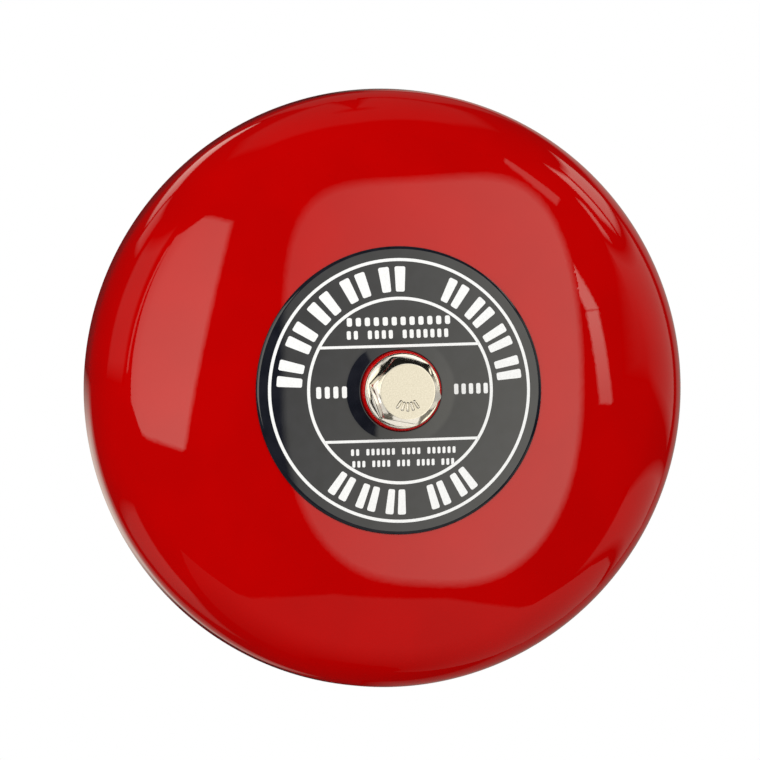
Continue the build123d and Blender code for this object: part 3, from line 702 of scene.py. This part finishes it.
def bolt_shape(index, radius, height, turn):
    """Radius and height of one point of the bolt at one turn about its axis."""
    kind = BOLT_POINTS[index][0]
    if kind == "thread":
        return thread_radius(height, turn), height
    side = hex_radius(turn)
    if kind == "foot":
        return side + radius, flange_height(side + radius) + height
    crown = HEAD_TOP - (side - HEAD_FLAT_RADIUS) * CHAMFER_SLOPE
    if kind == "side":
        return side, crown - height
    if kind == "crown":
        return side - radius, crown + radius * CHAMFER_SLOPE - height
    return radius, height


bolt_outline = [(radius, height) for kind, radius, height in BOLT_POINTS]
bolt = piece(
    "flange_bolt",
    *lathe(bolt_outline, 360, closed=False, shape=bolt_shape),
    "bolt",
    "bolt_nickel",
    NICKEL,
    28.0,
)
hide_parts("hex_bolt")


MARK_RADIUS = 3.75
MARK_LONG = 2.4
MARK_WIDE = 0.8
MARK_LIFT = 0.32
MARK_TURNS = (236, 253, 270, 287, 304)


def head_marks():
    """Fan of short raised bars, round in section, forged on the lower half of the head."""
    verts, faces = [], []
    for degrees in MARK_TURNS:
        turn = math.radians(degrees)

        def place(x, y, lift, turn=turn):
            crown = (1 - (2 * y / MARK_WIDE) ** 2) * (1 - (2 * x / MARK_LONG) ** 4)
            height = HEAD_TOP + (MARK_LIFT * max(0.0, crown) ** 0.5 if lift > 0 else lift)
            along = MARK_RADIUS + x
            right = along * math.cos(turn) - y * math.sin(turn)
            return at(right, along * math.sin(turn) + y * math.cos(turn), height)

        add_ink(verts, faces, MARK_LONG, MARK_WIDE, place, MARK_WIDE / 2, 0.1)
    return verts, faces


marks = piece("head_marks", *head_marks(), "bolt", "bolt_nickel", NICKEL, 60.0)


# ---------------------------------------------------------------- return spring
SPRING_LOW, SPRING_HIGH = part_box("return_spring")
SPRING_WIRE = 0.34
SPRING_RADIUS = 3.0
SPRING_TURNS = 7
END_CLOSING = 0.045


def spring_path(turns, radius, low, high, steps_per_turn=40):
    """Points of a compression spring on the striker's line, its end turns closed up."""
    points = []
    total = turns * steps_per_turn
    for step in range(total + 1):
        share = step / total
        eased = share - math.sin(share * 2 * math.pi) * END_CLOSING
        turn = 2 * math.pi * turns * share
        points.append((radius * math.cos(turn), high + (low - high) * eased, radius * math.sin(turn)))
    return points


spring_mid = (SPRING_LOW + SPRING_HIGH) / 2
spring_curve = bpy.data.curves.new("return_coil", "CURVE")
spring_curve.dimensions = "3D"
spring_curve.bevel_depth = SPRING_WIRE * MM
spring_curve.bevel_resolution = 3
spring_curve.use_fill_caps = True
spline = spring_curve.splines.new("POLY")
coil = spring_path(
    SPRING_TURNS, SPRING_RADIUS, SPRING_LOW[2] / MM + SPRING_WIRE, SPRING_HIGH[2] / MM - SPRING_WIRE
)
spline.points.add(len(coil) - 1)
for point, (dx, z, dy) in zip(spline.points, coil):
    point.co = (dx * MM, spring_mid[1] + dy * MM, z * MM, 1.0)
spring_curve.materials.append(MATERIALS["spring_steel"])
spring_shape = bpy.data.objects.new("return_coil_curve", spring_curve)
scene.collection.objects.link(spring_shape)
depsgraph = bpy.context.evaluated_depsgraph_get()
spring_mesh = bpy.data.meshes.new_from_object(spring_shape.evaluated_get(depsgraph))
bpy.data.objects.remove(spring_shape)
spring = bpy.data.objects.new("return_coil", spring_mesh)
scene.collection.objects.link(spring)
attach(spring, "base")
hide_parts("return_spring")
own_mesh(spring)


# ---------------------------------------------------------------- stage, light and camera
AIM = Vector((0.0, -0.030, 0.0))
VIEW_AZIMUTH = -8.3
VIEW_ELEVATION = 1.2
VIEW_DISTANCE = 1.6
FIELD = 0.1888
SENSOR = 36.0
VIEW_SHIFT = (-0.0135, 0.012)


def direction(azimuth, elevation):
    """Unit vector from the bell towards a place: azimuth 0 is straight in front, 90 to its right."""
    a, e = math.radians(azimuth), math.radians(elevation)
    return Vector((math.sin(a) * math.cos(e), -math.cos(a) * math.cos(e), math.sin(e)))


def softbox(name, azimuth, elevation, distance, wide, tall, radiance, only=None):
    """Rectangular light that faces the bell; one that lights only some pieces shows in them."""
    light = bpy.data.lights.new(name, "AREA")
    light.shape = "RECTANGLE"
    light.size = wide
    light.size_y = tall
    light.energy = radiance * wide * tall * math.pi
    obj = bpy.data.objects.new(name, light)
    back = direction(azimuth, elevation)
    obj.location = AIM + back * distance
    obj.rotation_euler = (-back).to_track_quat("-Z", "Y").to_euler()
    obj.visible_camera = False
    obj.visible_glossy = only is not None
    if only is not None:
        obj.light_linking.receiver_collection = only
    scene.collection.objects.link(obj)


softbox("key_light", 10.0, 24.0, 1.5, 1.2, 1.2, 2.5)
softbox("left_light", -58.0, 5.0, 1.6, 1.2, 1.6, 1.6)
softbox("back_light", 190.0, 35.0, 2.0, 1.6, 1.6, 1.4)

# Cards that light only the bolt, its washer and its marks, as a photographer lights bright metal.
BRIGHT = (bolt, washer, marks)
bright_metal = bpy.data.collections.new("bright_metal")
scene.collection.children.link(bright_metal)
for shiny in BRIGHT:
    bright_metal.objects.link(shiny)
softbox("card_left", -17.0, 0.0, 1.2, 0.26, 1.10, 1.2, bright_metal)
softbox("card_side", -61.0, -2.0, 1.2, 0.70, 0.90, 1.2, bright_metal)
softbox("card_low", 8.0, -50.0, 1.2, 1.40, 0.75, 1.0, bright_metal)
softbox("card_right", 60.0, -8.0, 1.2, 0.45, 1.10, 0.6, bright_metal)
softbox("card_high", 10.0, 33.0, 1.2, 1.10, 0.22, 1.0, bright_metal)
softbox("card_low_left", -45.0, -26.0, 1.2, 0.55, 0.55, 0.9, bright_metal)

# One card behind the bell, whose sheen shows the satin coat of the parts that face the wall.
base_parts = bpy.data.collections.new("base_parts")
scene.collection.children.link(base_parts)
for part in frame["record"]["subparts"]:
    if part["material_slot"] in ("housing_paint", "zinc_steel", "gasket_rubber"):
        base_parts.objects.link(frame["nodes"][part["node"]])
softbox("card_rear", 127.0, -8.0, 1.2, 0.70, 1.00, 1.2, base_parts)

# What the gloss mirrors. Each panel is a patch of a sphere about the bell, given by its corners as
# (azimuth, elevation, brightness) from the lower left anticlockwise, and it fades at its edges.
PANEL_REACH = 1.3
PANELS = (
    ("window", 0.8, (-46, -3, 1.6), (-26.5, -10, 2.3), (-20, 25, 1.7), (-45, 30, 1.0)),
    ("window_frame", 0.8, (-55, 3, 1.0), (-53, 3, 1.0), (-46.5, 28, 1.1), (-48.5, 28, 1.1)),
    ("left_wall", 5.0, (-92, 6, 0.28), (-63, 5, 0.35), (-60, 31, 0.45), (-92, 31, 0.4)),
    ("upper_left", 3.0, (-162, 31, 1.7), (-130, 32, 1.2), (-130, 40, 1.3), (-162, 42, 2.1)),
    ("upper_side", 3.0, (-122, 31, 0.8), (-104, 31, 0.4), (-104, 38, 0.4), (-122, 39, 0.9)),
    ("right_low_strip", 0.5, (41.3, -3, 1.6), (43.0, -3, 1.6), (41.2, 10, 3.0), (39.6, 10, 3.0)),
    ("right_high_strip", 0.5, (39.6, 10.6, 3.0), (41.2, 10.6, 3.0), (36.6, 20, 2.6), (35.2, 20, 2.6)),
    ("right_pane", 0.5, (34.2, 21.8, 2.6), (37.0, 21.8, 2.6), (36.0, 25, 2.6), (33.4, 25, 2.6)),
    ("right_beam", 0.5, (37.5, 26.5, 1.0), (38.3, 27.2, 1.0), (31.0, 34.2, 1.0), (30.3, 33.5, 1.0)),
    ("right_wall", 3.0, (48, 3, 0.14), (112, -6, 0.75), (112, 24, 0.75), (48, 19, 0.4)),
    ("high_window", 3.0, (70, 33, 2.0), (80, 31, 2.2), (79, 42, 3.2), (68, 44, 2.8)),
    ("far_window", 3.0, (88, 31, 1.6), (116, 33, 1.6), (116, 43, 2.0), (88, 43, 2.2)),
    ("small_window", 2.5, (55, 26, 2.0), (59, 26, 2.0), (59, 32, 2.2), (56, 32, 2.2)),
    ("table", 1.0, (-110, -80, 0.02), (125, -80, 0.08), (125, -34, 0.5), (-45, -34, 0.12)),
    ("right_of_table", 3.0, (50, -29, 0.3), (125, -29, 0.5), (125, -16, 0.7), (50, -18, 0.4)),
    ("backdrop_right", 6.0, (128, -50, 0.15), (168, -50, 0.12), (168, 26, 0.5), (128, 26, 0.35)),
    ("backdrop_high", 4.0, (150, 36, 0.14), (190, 36, 0.12), (190, 60, 0.14), (150, 60, 0.14)),
    ("backdrop_left", 4.0, (-176, -38, 0.3), (-152, -38, 0.15), (-150, -4, 0.2), (-176, -4, 0.8)),
    ("backdrop_low", 5.0, (-135, -55, 0.2), (-98, -50, 0.5), (-94, -30, 0.4), (-135, -26, 0.2)),
)
CEILING = ("ceiling", 6.0, (-170, 64, 0.16), (170, 64, 0.16), (170, 84, 0.18), (-170, 84, 0.18))
PANEL_TINT = (1.0, 0.97, 0.85, 1.0)
PANEL_STEPS = 8

# The octabox: the azimuth and elevation of its middle, then half its width and half its height.
# Each squareness is the power of its rounded outline, 2 for an ellipse.
OCTABOX = (13.8, 0.2, 24.8, 32.6)
OCTABOX_SQUARENESS = 4.4
OCTABOX_LOW_LEFT = 2.6
OCTABOX_LOW_RIGHT = 3.0
OCTABOX_GLOW = 1.3
OCTABOX_GAIN_RIGHT = 0.5
OCTABOX_LOSS_UP = 0.15
OCTABOX_RINGS = (0.3, 0.6, 0.8, 0.9, 0.95, 1.0)


def add_panel(verts, faces, glow, feather, corners):
    """Patch of the sphere between four corners, with a border that fades to nothing."""
    low_left, low_right, high_right, high_left = [Vector(corner) for corner in corners]
    border_u = feather / max(1.0, (low_right - low_left).xy.length)
    border_v = feather / max(1.0, (high_left - low_left).xy.length)
    shares = [step / PANEL_STEPS for step in range(PANEL_STEPS + 1)]
    run_u = [-border_u] + shares + [1 + border_u]
    run_v = [-border_v] + shares + [1 + border_v]
    base, count = len(verts), len(run_v)
    for u in run_u:
        for v in run_v:
            spot = low_left.lerp(low_right, u).lerp(high_left.lerp(high_right, u), v)
            verts.append(AIM + direction(spot.x, spot.y) * PANEL_REACH)
            glow.append(spot.z if 0 <= u <= 1 and 0 <= v <= 1 else 0.0)
    for column in range(len(run_u) - 1):
        for row in range(count - 1):
            here = base + column * count + row
            faces.append((here, here + count, here + count + 1, here + 1))


def add_octabox(verts, faces, glow, segments=96):
    """Main softbox: a rounded square, brighter towards the right."""
    middle, height, half_wide, half_tall = OCTABOX
    base = len(verts)
    verts.append(AIM + direction(middle, height) * PANEL_REACH)
    glow.append(OCTABOX_GLOW)
    for ring in OCTABOX_RINGS:
        for step in range(segments):
            turn = 2 * math.pi * step / segments
            across, along = math.cos(turn), math.sin(turn)
            low = OCTABOX_LOW_LEFT if across < 0 else OCTABOX_LOW_RIGHT
            square = low if along < 0 else OCTABOX_SQUARENESS
            size = (abs(across) ** square + abs(along) ** square) ** (-1 / square)
            across, along = across * size * ring, along * size * ring
            spot = direction(middle + across * half_wide, height + along * half_tall)
            verts.append(AIM + spot * PANEL_REACH)
            shine = OCTABOX_GLOW + OCTABOX_GAIN_RIGHT * across - OCTABOX_LOSS_UP * along
            glow.append(0.0 if ring == 1.0 else shine)
    for step in range(segments):
        after = (step + 1) % segments
        faces.append((base, base + 1 + step, base + 1 + after))
        for ring in range(len(OCTABOX_RINGS) - 1):
            here, there = base + 1 + ring * segments, base + 1 + (ring + 1) * segments
            faces.append((here + step, there + step, there + after, here + after))


panel_material = bpy.data.materials.new("panel_glow")
panel_material.use_nodes = True
panel_nodes = panel_material.node_tree.nodes
panel_nodes.clear()
panel_output = panel_nodes.new("ShaderNodeOutputMaterial")
panel_emission = panel_nodes.new("ShaderNodeEmission")
panel_emission.inputs["Color"].default_value = PANEL_TINT
panel_shine = panel_nodes.new("ShaderNodeAttribute")
panel_shine.attribute_name = "shine"
panel_material.node_tree.links.new(panel_shine.outputs["Fac"], panel_emission.inputs["Strength"])
panel_material.node_tree.links.new(panel_emission.outputs["Emission"], panel_output.inputs["Surface"])
panel_material.cycles.emission_sampling = "NONE"


def mirrored_stage(name, table, with_octabox):
    """Stage mesh of glowing panels that is seen only where something glossy mirrors it."""
    verts, faces, glow = [], [], []
    if with_octabox:
        add_octabox(verts, faces, glow)
    for _, feather, *corners in table:
        add_panel(verts, faces, glow, feather, corners)
    mesh = bpy.data.meshes.new(name)
    mesh.from_pydata(verts, [], faces)
    shine = mesh.attributes.new("shine", "FLOAT", "POINT")
    shine.data.foreach_set("value", glow)
    mesh.materials.append(panel_material)
    stage = bpy.data.objects.new(name, mesh)
    scene.collection.objects.link(stage)
    for ray_kind in ("camera", "diffuse", "transmission", "shadow", "volume_scatter"):
        setattr(stage, "visible_" + ray_kind, False)
    return stage


mirrored_stage("studio_panels", PANELS, True)
ceiling = mirrored_stage("studio_ceiling", (CEILING,), False)

# The ceiling shows in everything except the bright metal, whose upper facets stay dark.
not_bright = bpy.data.collections.new("not_bright_metal")
for shiny in BRIGHT:
    not_bright.objects.link(shiny)
for linked in not_bright.collection_objects:
    linked.light_linking.link_state = "EXCLUDE"
ceiling.light_linking.receiver_collection = not_bright

FLOOR_Z = -0.5
FLOOR_FRONT = -0.25
FLOOR_REACH = 4.0
FLOOR_FADE = (0.9, 1.9)
floor_mesh = bpy.data.meshes.new("floor")
floor_corners = [
    (-FLOOR_REACH, FLOOR_FRONT, FLOOR_Z),
    (FLOOR_REACH, FLOOR_FRONT, FLOOR_Z),
    (FLOOR_REACH, FLOOR_REACH, FLOOR_Z),
    (-FLOOR_REACH, FLOOR_REACH, FLOOR_Z),
]
floor_mesh.from_pydata(floor_corners, [], [(0, 1, 2, 3)])
floor = bpy.data.objects.new("floor", floor_mesh)
scene.collection.objects.link(floor)
pale = Shader("pale_floor", Specular_IOR_Level=0.1)
pale.colours(pale.noise(3.0), (0.80, 0.80, 0.79), (0.84, 0.84, 0.83))
pale.surface.inputs["Roughness"].default_value = 0.9

# The floor fades into the white surround with its distance, so no edge of it shows.
reach = pale.nodes.new("ShaderNodeVectorMath")
reach.operation = "LENGTH"
pale.links.new(pale.place, reach.inputs[0])
clear = pale.nodes.new("ShaderNodeBsdfTransparent")
fade = pale.nodes.new("ShaderNodeMixShader")
pale.links.new(pale.spread(reach.outputs["Value"], 0.0, 1.0, *FLOOR_FADE), fade.inputs["Fac"])
pale.links.new(pale.surface.outputs["BSDF"], fade.inputs[1])
pale.links.new(clear.outputs["BSDF"], fade.inputs[2])
pale.links.new(fade.outputs["Shader"], pale.nodes["Material Output"].inputs["Surface"])
floor_mesh.materials.append(pale.material)
floor.visible_glossy = False

# The surround is white to the camera, mid grey as light, and nearly dark where it is mirrored.
BACKDROP_WHITE = 1.0
MIRRORED_DARK = 0.015
SURROUND = 0.5
world = bpy.data.worlds.new("studio")
scene.world = world
world.use_nodes = True
tree = world.node_tree
background = tree.nodes["Background"]
rays = tree.nodes.new("ShaderNodeLightPath")
base_mix = tree.nodes.new("ShaderNodeMix")
base_mix.inputs["A"].default_value = SURROUND
base_mix.inputs["B"].default_value = MIRRORED_DARK
camera_mix = tree.nodes.new("ShaderNodeMix")
camera_mix.inputs["B"].default_value = BACKDROP_WHITE
tree.links.new(rays.outputs["Is Glossy Ray"], base_mix.inputs["Factor"])
tree.links.new(base_mix.outputs["Result"], camera_mix.inputs["A"])
tree.links.new(rays.outputs["Is Camera Ray"], camera_mix.inputs["Factor"])
tree.links.new(camera_mix.outputs["Result"], background.inputs["Strength"])
background.inputs["Color"].default_value = (1.0, 1.0, 1.0, 1.0)
scene.view_settings.view_transform = "Standard"

camera_data = bpy.data.cameras.new("camera")
camera_data.sensor_width = SENSOR
camera_data.lens = SENSOR * VIEW_DISTANCE / FIELD
camera_data.clip_start = 0.05
camera_data.clip_end = 30.0
camera = bpy.data.objects.new("camera", camera_data)
view_back = direction(VIEW_AZIMUTH, VIEW_ELEVATION)
camera.location = AIM + view_back * VIEW_DISTANCE
camera.rotation_euler = (-view_back).to_track_quat("-Z", "Y").to_euler()
camera_data.shift_x, camera_data.shift_y = VIEW_SHIFT
scene.collection.objects.link(camera)
scene.camera = camera
